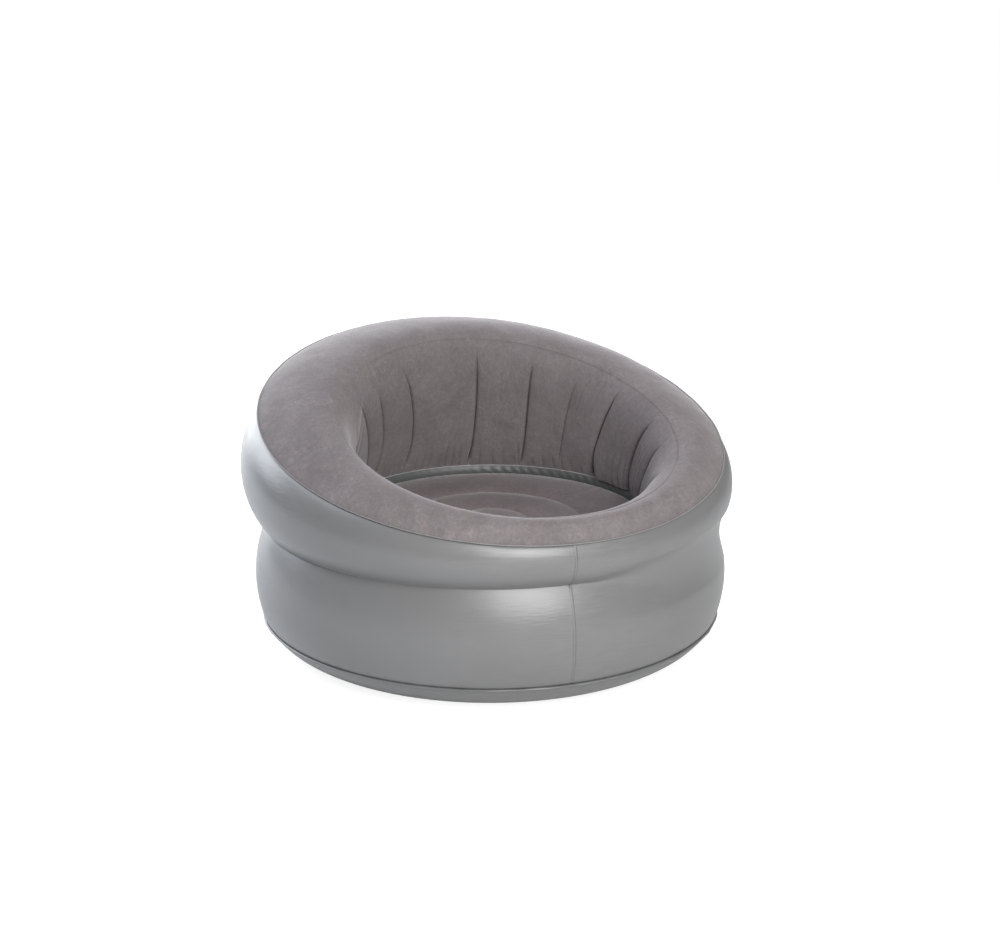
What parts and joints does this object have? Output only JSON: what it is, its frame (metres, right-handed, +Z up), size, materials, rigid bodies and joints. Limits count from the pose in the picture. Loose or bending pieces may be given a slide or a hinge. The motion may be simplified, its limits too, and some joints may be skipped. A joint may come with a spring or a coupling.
{
  "type": "inflatable chair",
  "caption": "Round inflatable tub chair: ringed film walls, flocked sloping rim, folded inner wall and flat flocked seat, with inner webs and a push-in air valve at the back.",
  "frame": {"origin": "point of the floor under the middle of the seat, on the base panel's flat middle", "axes": "+Z up, -Y towards the low front of the rim, the air valve faces +Y"},
  "size_m": [1.088, 1.0848, 0.6354],
  "materials": {
    "film": "satin",
    "band_film": "satin",
    "flock": "matte",
    "inner_film": "satin",
    "valve_plastic": "satin"
  },
  "bodies": {
    "chair": {"base_panel": "film", "outer_wall": "film", "wall_seam_lap": "film", "top_panel": "flock", "inner_wall": "flock", "seat_band": "band_film", "seat_panel": "flock", "base_weld": "film", "rim_weld": "film", "lip_weld": "flock", "foot_weld": "film", "seat_weld": "film", "waist_web": "inner_film", "seat_web_outer": "inner_film", "seat_web_inner": "inner_film", "valve_base": "valve_plastic", "plug_strap_collar": "valve_plastic"},
    "plug": {"deflate_plug": "valve_plastic", "deflate_plug_strap": "valve_plastic"},
    "cap": {"inflate_cap": "valve_plastic", "inflate_cap_strap": "valve_plastic"},
    "flap": {"valve_flap": "inner_film"}
  },
  "joints": [
    {"name": "plug_hinge", "type": "hinge", "parent": "chair", "child": "plug", "pos_m": [0, 0.52721, 0.1799], "axis": [1, 0, 0], "range_deg": [0, 90]},
    {"name": "cap_hinge", "type": "hinge", "parent": "plug", "child": "cap", "pos_m": [0, 0.53391, 0.1724], "axis": [1, 0, 0], "range_deg": [0, 120]},
    {"name": "flap_hinge", "type": "hinge", "parent": "plug", "child": "flap", "pos_m": [0, 0.51741, 0.168], "axis": [-1, 0, 0], "range_deg": [0, 35], "stiffness_Nm_per_rad": 0.001, "springref_deg": -5.73}
  ]
}
